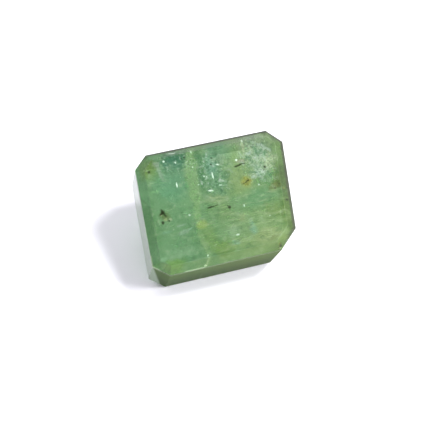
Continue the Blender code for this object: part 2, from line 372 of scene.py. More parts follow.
class StoneSettings(bpy.types.PropertyGroup):
    """The polished stone."""

    edge_width: number_setting(
        "Edge width", "Width of the worn edge between two facets, in millimetres", 0.022, min=0.0, max=0.1,
    )
    clearness: number_setting(
        "Clearness", "Share of the light that goes into the stone and isn't scattered at its surface", 0.62,
        min=0.5, max=1.0, subtype="FACTOR",
    )
    ior: number_setting("IOR", "Refractive index of grandidierite", 1.6, min=1.0, max=2.5)
    depth_colour: colour_setting(
        "Depth colour", "Colour that the stone's depth lets through", (0.30, 0.56, 0.26),
    )
    depth_density: number_setting(
        "Depth density", "How fast the stone's depth takes light away, per metre", 70.0, min=0.0, max=2000.0,
    )
    body_cool: colour_setting(
        "Cool green", "Milky blue-green of the stone's left half", (0.165, 0.355, 0.165),
    )
    body_warm: colour_setting(
        "Warm green", "Milky yellow-green of the stone's right half and rims", (0.230, 0.400, 0.150),
    )


class InclusionSettings(bpy.types.PropertyGroup):
    """What grew inside the stone."""

    veil_flakes: count_setting("Veil flakes", "Number of healed flakes in the veil", 60)
    cloud_flakes: count_setting(
        "Cloud flakes", "Number of pale flakes in the mottled cloud behind the middle", 120,
    )
    feather_flakes: count_setting(
        "Feather flakes", "Number of whitish flakes in the feather at the back right", 110,
    )
    silk_threads: count_setting("Silk threads", "Number of fine threads along the stone", 120)
    veil_colour: colour_setting("Veil colour", "Light yellow-green of the healed veil", (0.30, 0.50, 0.24))
    pale_colour: colour_setting(
        "Pale colour", "Bluish white of the small cracks in the cloud and the feather", (0.80, 0.92, 0.86),
    )
    silk_colour: colour_setting("Silk colour", "Pale green of the silk", (0.60, 0.78, 0.50))
    dark_colour: colour_setting(
        "Dark colour", "Blackish green-brown of the needles and the small crystals", (0.030, 0.040, 0.012),
    )
    stain_colour: colour_setting("Stain colour", "Olive-brown of the iron stains", (0.27, 0.27, 0.05))


class StageSettings(bpy.types.PropertyGroup):
    """The ground, the lights and the camera."""

    camera_azimuth: number_setting(
        "Camera azimuth", "Direction that the camera looks from, from the front towards the right",
        math.radians(-15.77), subtype="ANGLE",
    )
    camera_elevation: number_setting(
        "Camera elevation", "Height of the camera as an angle over the ground", math.radians(47.84),
        subtype="ANGLE",
    )
    camera_roll: number_setting(
        "Camera roll", "Turn of the camera about its own axis", math.radians(-0.67), subtype="ANGLE",
    )
    camera_distance: number_setting(
        "Camera distance", "Distance from the camera to the point that it looks at", 0.18,
        min=0.02, unit="LENGTH",
    )
    frame_width: number_setting(
        "Frame width", "Width of what the camera sees at that point", 0.0235, min=0.005, unit="LENGTH",
    )
    ground_colour: colour_setting("Ground colour", "White ground under the stone", (0.925, 0.92, 0.97))
    sky_strength: number_setting("Sky strength", "Light from the white tent all round", 1.0, min=0.0)
    opening_tone: number_setting(
        "Opening tone", "How light the opening at the top of the tent is against the rest of it", 0.2,
        min=0.0, max=1.0, subtype="FACTOR",
    )
    key_power: number_setting("Key power", "Power of the soft light from the right, in watts", 1.2, min=0.0)
    fill_power: number_setting(
        "Fill power", "Power of the low soft light from the front right, in watts", 1.9, min=0.0,
    )


def deselect_all():
    """Leave nothing selected."""
    bpy.ops.object.select_all(action="DESELECT")


def make_active(piece):
    """Select one piece alone."""
    deselect_all()
    piece.select_set(True)
    bpy.context.view_layer.objects.active = piece


def finish_piece(piece, name, materials):
    """Shrink a piece that was modelled in millimetres, name it, paint it and let it ride with the stone."""
    make_active(piece)
    piece.name = name
    piece.data.name = name
    piece.data.transform(piece.matrix_world)
    piece.matrix_world = Matrix.Identity(4)
    piece.data.transform(Matrix.Scale(MM, 4))
    piece.data.materials.clear()
    for material in materials:
        piece.data.materials.append(material)
    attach(piece, BODY)
    deselect_all()


def seen_at(along, across, depth, turn):
    """The place of something inside the stone that is seen at this point of the table, as a matrix."""
    place = Vector((along, across, 0.0)) + SIGHT * depth
    return TABLE_PLACE @ Matrix.Translation(place) @ turn


def tumbled(rng, tilt, spin=None):
    """A turn about the table's upright, by spin or by chance, after a tilt by chance up to a limit."""
    spin = rng.uniform(0.0, 360.0) if spin is None else spin
    axis = Vector((math.cos(rng.uniform(0.0, math.tau)), math.sin(rng.uniform(0.0, math.tau)), 0.0))
    lean = Matrix.Rotation(math.radians(rng.uniform(-tilt, tilt)), 4, axis)
    return Matrix.Rotation(math.radians(spin), 4, "Z") @ lean


def stretched(length, width, height):
    """A matrix that stretches a template of one millimetre."""
    return Matrix.Diagonal((length, width, height, 1.0))


def flake_template(seed):
    """One ragged lump, a millimetre across, that flakes are copied from and flattened."""
    deselect_all()
    bpy.ops.mesh.primitive_ico_sphere_add(subdivisions=1, radius=0.5)
    flake = bpy.context.object
    bpy.ops.object.mode_set(mode="EDIT")
    bpy.ops.mesh.select_all(action="SELECT")
    bpy.ops.transform.vertex_random(offset=0.16, seed=seed)
    bpy.ops.object.mode_set(mode="OBJECT")
    return flake


def thread_template():
    """One thread, a millimetre long and thin at both ends, that the others are copied from."""
    deselect_all()
    bpy.ops.mesh.primitive_cylinder_add(vertices=5, radius=0.5, depth=0.5, rotation=(0.0, math.pi / 2, 0.0))
    bpy.ops.object.transform_apply(location=True, rotation=True, scale=True)
    thread = bpy.context.object
    bpy.ops.object.mode_set(mode="EDIT")
    bpy.ops.mesh.select_mode(type="FACE")
    for sign in (-1, 1):
        bpy.ops.mesh.select_all(action="DESELECT")
        bpy.ops.object.mode_set(mode="OBJECT")
        for face in thread.data.polygons:
            face.select = face.normal.x * sign > 0.9
        bpy.ops.object.mode_set(mode="EDIT")
        bpy.ops.mesh.extrude_region_move(TRANSFORM_OT_translate={"value": (0.25 * sign, 0.0, 0.0)})
        bpy.ops.transform.resize(value=(1.0, 0.15, 0.15), center_override=(0.5 * sign, 0.0, 0.0))
    bpy.ops.object.mode_set(mode="OBJECT")
    return thread


def copy_and_join(templates, places, rng):
    """Copy the templates to these places, each copy with its own mesh, and join the copies."""
    copies = []
    for place in places:
        source = rng.choice(templates)
        copy = source.copy()
        copy.data = source.data.copy()
        bpy.context.scene.collection.objects.link(copy)
        copy.matrix_world = place
        copies.append(copy)
    for template in templates:
        bpy.data.objects.remove(template)
    deselect_all()
    for copy in copies:
        copy.select_set(True)
    bpy.context.view_layer.objects.active = copies[0]
    bpy.ops.object.join()
    joined = bpy.context.object
    make_active(joined)
    bpy.ops.object.transform_apply(location=True, rotation=True, scale=True)
    return joined


def feed(tree, values, sockets):
    """Give each socket its value. An output socket is linked, and a colour gets full alpha."""
    for value, socket in zip(values, sockets):
        if isinstance(value, bpy.types.NodeSocket):
            tree.links.new(value, socket)
        elif socket.type == "RGBA":
            socket.default_value = (*value[:3], 1.0)
        else:
            socket.default_value = value


def feed_node(tree, node, **inputs):
    """Feed some inputs of a node, named by their labels with underscores for spaces."""
    feed(tree, inputs.values(), [node.inputs[label.replace("_", " ")] for label in inputs])
    return node


def add_node(tree, kind, options=None, **inputs):
    """A node with its options, and with values on some of its inputs."""
    node = tree.nodes.new(kind)
    for label, value in (options or {}).items():
        setattr(node, label, value)
    return feed_node(tree, node, **inputs)


def new_material(name):
    """A material with its node tree and its Principled shader."""
    material = bpy.data.materials.new(name)
    material.use_nodes = True
    tree = material.node_tree
    return material, tree, tree.nodes["Principled BSDF"]


def new_group(name, inputs, outputs):
    """An empty shader node group with named inputs and outputs, each with its type and its default."""
    group = bpy.data.node_groups.new(name, "ShaderNodeTree")
    for label, (kind, default) in inputs.items():
        socket = group.interface.new_socket(label, in_out="INPUT", socket_type="NodeSocket" + kind)
        if default is not None:
            socket.default_value = default
    for label, kind in outputs.items():
        group.interface.new_socket(label, in_out="OUTPUT", socket_type="NodeSocket" + kind)
    return group, group.nodes.new("NodeGroupInput").outputs, group.nodes.new("NodeGroupOutput")


def use_group(tree, name, **inputs):
    """Place a node group in a material or in another group."""
    return add_node(tree, "ShaderNodeGroup", {"node_tree": bpy.data.node_groups[name]}, **inputs)


def mix_colours(tree, factor, first, second, blend="MIX"):
    """Mix two colours. Each of them, and the factor, is an output socket or a plain value."""
    node = add_node(tree, "ShaderNodeMix", {"data_type": "RGBA", "blend_type": blend})
    feed(tree, (factor, first, second), (node.inputs[0], node.inputs[6], node.inputs[7]))
    return node.outputs[2]


def math_node(tree, operation, first, second=0.0):
    """One sum on two values, each an output socket or a plain number."""
    node = add_node(tree, "ShaderNodeMath", {"operation": operation})
    feed(tree, (first, second), node.inputs)
    return node.outputs[0]


def times(tree, first, second):
    """The product of two values."""
    return math_node(tree, "MULTIPLY", first, second)


def plus(tree, first, second):
    """The sum of two values."""
    return math_node(tree, "ADD", first, second)


def minus(tree, first, second):
    """The first value less the second."""
    return math_node(tree, "SUBTRACT", first, second)


def vector_node(tree, operation, first, second=(0.0, 0.0, 0.0), output="Vector"):
    """One sum on two vectors, each an output socket or a plain value."""
    node = add_node(tree, "ShaderNodeVectorMath", {"operation": operation})
    feed(tree, (first, second), node.inputs)
    return node.outputs[output]


def noise(tree, place, scale, detail, roughness=0.5, distortion=0.0, output="Fac"):
    """A cloud of noise with values about 0.5."""
    node = add_node(tree, "ShaderNodeTexNoise", Vector=place, Scale=scale, Detail=detail, Roughness=roughness,
                    Distortion=distortion)
    return node.outputs[output]


def ramp_between(tree, value, low, high):
    """A mask that rises from 0 at low to 1 at high."""
    node = add_node(tree, "ShaderNodeMapRange", {"interpolation_type": "SMOOTHSTEP"}, Value=value,
                    From_Min=low, From_Max=high)
    return node.outputs["Result"]


def past(tree, place, *limits):
    """The mask of what lies past all of these limits."""
    mask = 1.0
    for limit in limits:
        value = vector_node(tree, "DOT_PRODUCT", place, limit.direction, "Value")
        mask = times(tree, ramp_between(tree, value, limit.start, limit.full), mask)
    return mask


def lay(tree, mask, share, colour, tone):
    """Lay a share of a tone over a colour, where the mask is."""
    return mix_colours(tree, times(tree, mask, share), colour, tone)


def lay_tones(tree, grain, mask, colour, tones):
    """Lay what a noise brings out over a colour, where the mask is."""
    for tone in tones:
        shown = times(tree, ramp_between(tree, grain, tone.start, tone.full), mask)
        colour = lay(tree, shown, tone.share, colour, tone.colour)
    return colour


def stone_axes_group():
    """The place of a point along, across and above the table, in millimetres."""
    group, inside, outside = new_group("stone axes", {}, {"Vector": "Vector"})
    place = group.nodes.new("ShaderNodeTexCoord").outputs["Object"]
    shifted = vector_node(group, "SUBTRACT", place, TABLE_MIDDLE * MM)
    parts = [
        vector_node(group, "DOT_PRODUCT", shifted, direction / MM, "Value")
        for direction in (TABLE_ALONG, TABLE_ACROSS, TABLE_UP)
    ]
    gather = add_node(group, "ShaderNodeCombineXYZ", X=parts[0], Y=parts[1], Z=parts[2])
    feed_node(group, outside, Vector=gather.outputs[0])


def curve_through(tree, value, points, low, high):
    """A smooth curve through points, for a value from the first to the last. It gives low to high."""
    first, last = points[0][0], points[-1][0]
    node = tree.nodes.new("ShaderNodeFloatCurve")
    curve = node.mapping.curves[0]
    for index, (place, result) in enumerate(points):
        spot = ((place - first) / (last - first), (result - low) / (high - low))
        if index == 0:
            curve.points[0].location = spot
        elif index == len(points) - 1:
            curve.points[-1].location = spot
        else:
            curve.points.new(*spot)
    node.mapping.update()
    feed_node(tree, node, Value=math_node(tree, "DIVIDE", minus(tree, value, first), last - first))
    return plus(tree, times(tree, node.outputs[0], high - low), low)


def growth_zone_group():
    """A soft spot on the plane of the table. Wander is the push that makes its edge ragged."""
    group, inside, outside = new_group(
        "growth zone",
        {
            "Place": ("Vector", None),
            "Wander": ("Vector", None),
            "Middle": ("Vector", None),
            "Half Size": ("Vector", None),
            "Turn": ("Float", 0.0),
            "Ragged": ("Float", 0.5),
            "Edge": ("Float", 0.8),
        },
        {"Mask": "Float"},
    )
    pushed = add_node(group, "ShaderNodeVectorMath", {"operation": "SCALE"}, Vector=inside["Wander"],
                      Scale=inside["Ragged"])
    moved = vector_node(group, "ADD", inside["Place"], pushed.outputs[0])
    away = vector_node(group, "SUBTRACT", moved, inside["Middle"])
    flat = vector_node(group, "MULTIPLY", away, (1.0, 1.0, 0.0))
    turned = add_node(group, "ShaderNodeVectorRotate", {"rotation_type": "Z_AXIS"}, Vector=flat,
                      Angle=times(group, inside["Turn"], -1.0))
    scaled = vector_node(group, "DIVIDE", turned.outputs[0], inside["Half Size"])
    reach = vector_node(group, "LENGTH", scaled, output="Value")
    half_edge = times(group, inside["Edge"], 0.5)
    rim = 0.95
    fade = ramp_between(group, reach, plus(group, rim, half_edge), minus(group, rim, half_edge))
    feed_node(group, outside, Mask=fade)


def spot_mask(tools, along, across, half, turn=0.0, ragged=0.3, edge=0.8):
    """The mask of one soft spot. Tools are the node tree, the place and the wander of its edge."""
    tree, place, wander = tools
    spot = use_group(tree, "growth zone", Place=place, Wander=wander, Middle=(along, across, 0.0),
                     Half_Size=(*half, 1.0), Turn=turn, Ragged=ragged, Edge=edge)
    return spot.outputs["Mask"]


def stroke_mask(tools, start, end, width, ragged):
    """The mask of a soft stroke from one point to another. Tools are as for a spot."""
    run = Vector(end) - Vector(start)
    middle = (Vector(start) + Vector(end)) / 2
    half = (0.60 * run.length + 0.25 * width, 0.90 * width)
    return spot_mask(tools, middle.x, middle.y, half, turn=math.atan2(run.y, run.x), ragged=ragged)


def veil_group():
    """The mask of the healed veil, which crosses the stone in a wavering band."""
    group, inside, outside = new_group("healed veil", {"Place": ("Vector", None)}, {"Mask": "Float"})
    place = inside["Place"]
    along, across, height = add_node(group, "ShaderNodeSeparateXYZ", Vector=place).outputs
    path = sorted(VEIL_PATH)
    middle = curve_through(group, across, [(step[0], step[1]) for step in path], -2.0, 0.0)
    width = curve_through(group, across, [(step[0], step[2]) for step in path], 0.0, 1.0)
    push = times(group, minus(group, noise(group, place, 1.8, 4.0, 0.6), 0.5), 0.55)
    off = minus(group, along, plus(group, middle, push))
    share = math_node(group, "DIVIDE", math_node(group, "ABSOLUTE", off), width)
    feed_node(group, outside, Mask=ramp_between(group, share, 0.75, 0.30))


def milkiness_group():
    """The cloudy green body: cool at the left, warm at the right, with its zones, its veil and its silk."""
    group, inside, outside = new_group(
        "milky body", {"Cool": ("Color", None), "Warm": ("Color", None)}, {"Color": "Color"}
    )
    place = use_group(group, "stone axes").outputs["Vector"]
    along = vector_node(group, "DOT_PRODUCT", place, ALONG, "Value")
    bend = times(group, noise(group, place, 0.9, 5.0, 0.62, 0.6), 3.0)
    warm_side = ramp_between(group, plus(group, along, bend), -0.6, 3.2)
    colour = mix_colours(group, warm_side, inside["Cool"], inside["Warm"])

    stir = noise(group, place, 1.9, 5.0, 0.7, output="Color")
    tools = (group, place, vector_node(group, "SUBTRACT", stir, (0.5, 0.5, 0.5)))
    for zone in ZONES:
        mask = spot_mask(tools, zone.along, zone.across, (zone.half_length, zone.half_width),
                         turn=math.radians(zone.turn), ragged=1.8 * zone.ragged, edge=1.1)
        colour = lay(group, mask, zone.share, colour, zone.colour)

    # The veil is faint in front and stronger behind
    veil = use_group(group, "healed veil", Place=place).outputs["Mask"]
    strength = plus(group, times(group, past(group, place, Limit(ACROSS, -2.2, -0.8)), 0.35), 0.45)
    colour = lay(group, veil, strength, colour, VEIL_COLOUR)

    # Mottling, and the soft strokes of the feather and the cloud
    colour = lay_tones(group, noise(group, place, 2.6, 5.0, 0.68, 0.4), 1.0, colour, BLOTS)
    for stroke in STROKES:
        mask = stroke_mask(tools, stroke.start, stroke.end, 0.62 * stroke.width, ragged=0.25)
        colour = lay(group, mask, stroke.share, colour, stroke.colour)

    # Crumbs of pale cracks and dark hollows in the feather and the cloud
    feather, cloud = (spot_mask(tools, *middle, (0.95, 1.35), ragged=1.2, edge=0.9)
                      for middle in ((2.75, 1.75), (0.20, 1.45)))
    cracked = math_node(group, "MAXIMUM", feather, cloud)
    colour = lay_tones(group, noise(group, place, 3.0, 2.0, 0.55, 0.6), cracked, colour, CRUMBS)

    # Fine dark and light dots, in the cracks and in the teal behind the left
    teal = spot_mask(tools, -1.6, 2.6, (1.2, 0.7), ragged=0.8, edge=0.9)
    dotted = math_node(group, "MAXIMUM", times(group, cracked, 0.7), teal)
    colour = lay_tones(group, noise(group, place, 7.5, 1.0), dotted, colour, DOTS)

    # Silk along the stone, thickest at its front right
    thick = spot_mask(tools, 1.8, -1.4, (3.4, 1.9), ragged=1.2, edge=0.8)
    amount = plus(group, times(group, thick, 0.32), 0.14)
    for spin, tone in SILK:
        drawn = add_node(group, "ShaderNodeMapping", Vector=place, Rotation=(0.0, 0.0, spin),
                         Scale=(0.6, 3.2, 1.5))
        streaks = noise(group, drawn.outputs[0], 1.5, 5.0, 0.6, 0.3)
        colour = lay_tones(group, streaks, amount, colour, [tone])

    # What lies close under the table colours the milk over it
    for stain in STAINS:
        half = (0.62 * stain.size, 0.55 * stain.size)
        mask = spot_mask(tools, stain.along, stain.across, half, ragged=0.35)
        colour = lay(group, mask, 0.6, colour, STAIN_MILK)
    for needle in NEEDLES:
        for first, second in zip(needle.points, needle.points[1:]):
            mask = stroke_mask(tools, first, second, needle.thickness, ragged=0.08)
            colour = lay(group, mask, 0.8, colour, DARK_MILK)
    for speck in SPECKS:
        half = (0.62 * speck.size, 0.66 * speck.size)
        mask = spot_mask(tools, speck.along, speck.across, half, ragged=0.10)
        colour = lay(group, mask, 0.82, colour, DARK_MILK)
    # Painted highlights: white spots in the milk where the platelets glint
    for glint in GLINTS:
        mask = spot_mask(tools, glint.along, glint.across, (glint.length / 2, glint.width / 2),
                         turn=math.radians(glint.turn), ragged=0.05, edge=1.2)
        colour = lay(group, mask, glint.brightness, colour, PAINTED_GLINT_MILK)
    feed_node(group, outside, Color=colour)


def facet_light_and_shade_group():
    """Painted shade on crown and front walls, a dark far rim, painted light on the left wall and girdle."""
    group, inside, outside = new_group("facet light and shade", {"Color": ("Color", None)}, {"Color": "Color"})
    place = use_group(group, "stone axes").outputs["Vector"]
    colour = inside["Color"]
    # Painted shade: each side of the crown is deepened by its own tint
    for limit, crown_shade in CROWN_PAINTED_SHADE:
        mask = past(group, place, UNDER_TABLE, OVER_GIRDLE, limit)
        colour = mix_colours(group, mask, colour, crown_shade, "MULTIPLY")
    colour = lay(group, past(group, place, RIM_STRIP, FAR_SIDE), 0.85, colour, RIM_COLOUR)

    # Painted shade on the front walls: darker near the ground and towards the left, away from the key light
    olive = mix_colours(group, past(group, place, LOW_WALL_SHADE), WALL_OLIVE_AND_SHADE, WALL_SHADOW_COLOUR)
    olive = mix_colours(group, past(group, place, WALL_SHADE_TO_LEFT), olive, WALL_LEFT_SHADE, "MULTIPLY")
    colour = lay(group, past(group, place, UNDER_GIRDLE, FRONT_WALL), 0.9, colour, olive)
    # Painted light: the left wall is made pale where it mirrors and lets through the white ground
    pale = math_node(group, "MAXIMUM", past(group, place, LEFT_OF_SLANT), past(group, place, BEHIND_CORNER))
    left = times(group, past(group, place, UNDER_GIRDLE, LEFT_WALL), pale)
    colour = lay(group, left, 0.7, colour, LEFT_WALL_PAINTED_LIGHT)

    # Painted highlights along the front girdle
    for first, last in GIRDLE_HIGHLIGHTS:
        start = Limit(ALONG, first - GIRDLE_HIGHLIGHT_ENDS, first + GIRDLE_HIGHLIGHT_ENDS)
        end = Limit(ALONG, last + GIRDLE_HIGHLIGHT_ENDS, last - GIRDLE_HIGHLIGHT_ENDS)
        colour = lay(group, past(group, place, start, end, *GIRDLE_HIGHLIGHT_LINE), 0.9, colour, GIRDLE_HIGHLIGHT_COLOUR)
    feed_node(group, outside, Color=colour)


def polish_group():
    """Fine wear on a face: a normal with faint waves and grit, and a roughness that varies."""
    group, inside, outside = new_group(
        "polish wear",
        {"Roughness": ("Float", 0.05), "Depth": ("Float", 0.02)},
        {"Roughness": "Float", "Normal": "Vector"},
    )
    place = use_group(group, "stone axes").outputs["Vector"]
    waves = noise(group, place, 2.5, 2.0)
    grit = noise(group, place, 24.0, 4.0, 0.7)
    bump = add_node(group, "ShaderNodeBump", Strength=0.35, Distance=times(group, inside["Depth"], MM),
                    Height=plus(group, waves, times(group, grit, 0.15)))
    worn = times(group, ramp_between(group, grit, 0.45, 0.8), 0.12)
    feed_node(group, outside, Roughness=plus(group, inside["Roughness"], worn), Normal=bump.outputs["Normal"])


def stone_material(finish, settings):
    """One finish of the stone: clear, green in depth, with a milky share at its surface."""
    material, tree, shader = new_material(finish.name)
    milk = use_group(tree, "milky body", Cool=settings.body_cool, Warm=settings.body_warm)
    colour = use_group(tree, "facet light and shade", Color=milk.outputs["Color"]).outputs["Color"]
    if finish.dust:
        place = use_group(tree, "stone axes").outputs["Vector"]
        spread = ramp_between(tree, noise(tree, place, 6.0, 4.0, 0.6), 0.4, 0.7)
        colour = lay(tree, spread, finish.dust, colour, DUST_COLOUR)
    wear = use_group(tree, "polish wear", Roughness=finish.roughness, Depth=finish.wear)
    clearness = settings.clearness if finish.clearness is None else finish.clearness
    feed_node(tree, shader, Base_Color=colour, Roughness=wear.outputs["Roughness"],
              Normal=wear.outputs["Normal"], Metallic=0.0, IOR=settings.ior,
              Specular_IOR_Level=finish.shine, Transmission_Weight=clearness)
    depth = add_node(tree, "ShaderNodeVolumeAbsorption", Color=settings.depth_colour,
                     Density=settings.depth_density)
    feed_node(tree, tree.nodes["Material Output"], Volume=depth.outputs[0])
    return material


class GRANDIDIERITE_OT_polish_stone(bpy.types.Operator):
    """Copy the cut stone, wear its edges a little and polish its facets"""

    bl_idname = "grandidierite.polish_stone"
    bl_label = "Polish stone"

    def execute(self, context):
        settings = context.scene.grandidierite_stone
        stone = bpy.data.objects.new("polished_stone", frame["nodes"][STONE_NODE].data.copy())
        context.scene.collection.objects.link(stone)
        stone.data.transform(Matrix.Scale(1 / MM, 4))
        make_active(stone)
        bpy.ops.mesh.customdata_custom_splitnormals_clear()
        bpy.ops.object.mode_set(mode="EDIT")
        bpy.ops.mesh.select_all(action="SELECT")
        bpy.ops.mesh.remove_doubles(threshold=WELD)
        bpy.ops.mesh.dissolve_limited(angle_limit=math.radians(0.5))
        bpy.ops.object.mode_set(mode="OBJECT")

        wear = stone.modifiers.new("worn edges", "BEVEL")
        wear.width = settings.edge_width
        wear.segments = 2
        wear.limit_method = "ANGLE"
        wear.angle_limit = math.radians(42.0)
        wear.use_clamp_overlap = False
        bpy.ops.object.modifier_apply(modifier=wear.name)
        bpy.ops.object.shade_flat()

        finishes = (POLISHED, GROUND, SATIN)
        worn = [finishes.index(self.finish_of(face.normal)) for face in stone.data.polygons]
        finish_piece(stone, "polished_stone", [stone_material(finish, settings) for finish in finishes])
        stone.data.polygons.foreach_set("material_index", worn)
        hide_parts(STONE_NODE)
        return {"FINISHED"}

    def finish_of(self, normal):
        """The finish of a face that looks this way."""
        lean = normal.dot(TABLE_UP)
        if abs(lean) < GIRDLE_LEAN:
            return GROUND
        if SATIN_LEAN[0] < lean < SATIN_LEAN[1] and normal.dot(TABLE_ACROSS) < SATIN_FACING:
            return SATIN
        return POLISHED


def mixed(colour, other, share):
    """A colour part of the way to another one."""
    return tuple(a + (b - a) * share for a, b in zip(colour, other))


def inclusion_material(name, colour, second, roughness, scale, glow):
    """The look of something inside the stone: its colour, broken by a second one, and a grainy surface."""
    material, tree, shader = new_material(name)
    place = use_group(tree, "stone axes").outputs["Vector"]
    grain = noise(tree, place, scale, 4.0, 0.6)
    tone = mix_colours(tree, ramp_between(tree, grain, 0.35, 0.65), second, colour)
    bump = add_node(tree, "ShaderNodeBump", Strength=0.4, Distance=0.01 * MM, Height=grain)
    feed_node(tree, shader, Base_Color=tone, Roughness=plus(tree, times(tree, grain, 0.3), roughness - 0.15),
              Normal=bump.outputs["Normal"])
    # A glow is painted light: an emission that stands in for a glint
    if glow:
        feed_node(tree, shader, Emission_Color=tone, Emission_Strength=glow)
    return material


def grow_piece(name, templates, places, rng, colour, second, share, roughness, scale, glow=0.0):
    """Copy the templates to their places, and finish them as one piece whose colour runs to a second one."""
    piece = copy_and_join(templates, places, rng)
    second = mixed(colour, second, share)
    look = inclusion_material(name.replace("_", " "), colour, second, roughness, scale, glow)
    finish_piece(piece, name, [look])
    return {"FINISHED"}


def flakes(*seeds):
    """A ragged flake for each seed."""
    return [flake_template(seed) for seed in seeds]


class GRANDIDIERITE_OT_heal_veil(bpy.types.Operator):
    """Grow the healed veil: flakes along a wavering path from the back of the stone to its front"""

    bl_idname = "grandidierite.heal_veil"
    bl_label = "Heal veil"

    def execute(self, context):
        settings = context.scene.grandidierite_inclusions
        rng = random.Random(11)
        path = sorted(VEIL_PATH)
        places = []
        for index in range(settings.veil_flakes):
            across = rng.uniform(path[2][0], path[-1][0] - 0.45)
            first, second = next(pair for pair in zip(path, path[1:]) if pair[1][0] >= across)
            share = (across - first[0]) / (second[0] - first[0])
            along, width = (first[axis] + (second[axis] - first[axis]) * share for axis in (1, 2))
            depth = rng.uniform(0.9, 1.8)
            size = rng.uniform(0.16, 0.34)
            place = seen_at(along + rng.gauss(0.0, 0.26) * width, across, depth, tumbled(rng, 50.0))
            places.append(place @ stretched(size, size * rng.uniform(0.4, 0.9), 0.02))
        return grow_piece("healed_veil", flakes(1, 2, 3), places, rng, settings.veil_colour,
                          (0.22, 0.42, 0.17), 0.5, 0.5, 3.0)


class GRANDIDIERITE_OT_crack_feather(bpy.types.Operator):
    """Open the whitish network of small cracks at the back right"""

    bl_idname = "grandidierite.crack_feather"
    bl_label = "Crack feather"

    def execute(self, context):
        settings = context.scene.grandidierite_inclusions
        rng = random.Random(23)
        places = []
        for index in range(settings.feather_flakes):
            across = rng.uniform(0.25, 2.85)
            along = 3.0 - 0.12 * across + rng.gauss(-0.15, 0.42)
            along = min(max(along, 1.7), 3.45)
            depth = rng.uniform(0.15, 0.9)
            size = rng.choice((0.06, 0.10, 0.14, 0.20))
            turn = tumbled(rng, 35.0, rng.choice((20.0, 75.0, 130.0)) + rng.gauss(0.0, 18.0))
            place = seen_at(along, across, depth, turn)
            shape = stretched(size * rng.uniform(1.0, 1.9), size * rng.uniform(0.2, 0.6), 0.015)
            places.append(place @ shape)
        return grow_piece("white_feather", flakes(4, 5, 6), places, rng, settings.pale_colour,
                          (0.3, 0.5, 0.3), 0.5, 0.35, 4.0)


class GRANDIDIERITE_OT_gather_cloud(bpy.types.Operator):
    """Gather the mottled cloud behind the middle, and loose flakes all over"""

    bl_idname = "grandidierite.gather_cloud"
    bl_label = "Gather cloud"

    def execute(self, context):
        settings = context.scene.grandidierite_inclusions
        rng = random.Random(37)
        places = []
        for index in range(settings.cloud_flakes):
            ring = rng.uniform(0.0, math.tau)
            along = 0.05 + 0.62 * math.cos(ring) + rng.gauss(0.0, 0.16)
            across = 1.35 + 0.85 * math.sin(ring) + rng.gauss(0.0, 0.18)
            depth = rng.uniform(0.2, 0.9)
            size = rng.choice((0.03, 0.04, 0.05, 0.07))
            place = seen_at(along, across, depth, tumbled(rng, 40.0))
            shape = stretched(size * rng.uniform(1.0, 1.8), size * rng.uniform(0.3, 0.7), 0.015)
            places.append(place @ shape)
        for index in range(settings.cloud_flakes):
            along, across = rng.uniform(-3.2, 3.2), rng.uniform(-2.6, 2.6)
            place = seen_at(along, across, rng.uniform(0.3, 1.6), tumbled(rng, 40.0))
            size = rng.uniform(0.03, 0.07)
            places.append(place @ stretched(size, size * rng.uniform(0.4, 1.0), 0.012))
        return grow_piece("mottled_cloud", flakes(7, 8, 9), places, rng, settings.pale_colour,
                          (0.2, 0.45, 0.35), 0.6, 0.35, 4.0)


class GRANDIDIERITE_OT_spin_silk(bpy.types.Operator):
    """Lay fine threads of silk along the stone, most of them at its front right"""

    bl_idname = "grandidierite.spin_silk"
    bl_label = "Spin silk"

    def execute(self, context):
        settings = context.scene.grandidierite_inclusions
        rng = random.Random(53)
        places = []
        for index in range(settings.silk_threads):
            if index % 5 == 0:
                along, across = rng.uniform(-3.2, 3.2), rng.uniform(-2.6, 2.4)
            else:
                along, across = rng.uniform(-0.9, 3.1), rng.uniform(-2.7, -0.1)
            length = min(rng.uniform(0.12, 0.55), 2.0 * (3.4 - abs(along)))
            turn = tumbled(rng, 6.0, rng.gauss(3.0, 4.0))
            place = seen_at(along, across, rng.uniform(0.2, 1.4), turn)
            places.append(place @ stretched(length, rng.uniform(0.014, 0.034), 0.014))
        return grow_piece("silk", [thread_template()], places, rng, settings.silk_colour,
                          (0.3, 0.45, 0.15), 0.5, 0.4, 2.0)


class GRANDIDIERITE_OT_grow_needles(bpy.types.Operator):
    """Grow the dark needles, each a chain of pointed rods"""

    bl_idname = "grandidierite.grow_needles"
    bl_label = "Grow needles"

    def execute(self, context):
        settings = context.scene.grandidierite_inclusions
        rng = random.Random(61)
        places = []
        for needle in NEEDLES:
            for first, second in zip(needle.points, needle.points[1:]):
                run = Vector(second) - Vector(first)
                middle = (Vector(first) + Vector(second)) / 2
                turn = Matrix.Rotation(math.atan2(run.y, run.x), 4, "Z")
                place = seen_at(middle.x, middle.y, needle.depth, turn)
                thickness = needle.thickness * rng.uniform(0.8, 1.2)
                places.append(place @ stretched(run.length * 1.35, thickness, thickness * 0.8))
        return grow_piece("dark_needles", [thread_template()], places, rng, settings.dark_colour,
                          (0.2, 0.14, 0.03), 0.5, 0.3, 8.0)


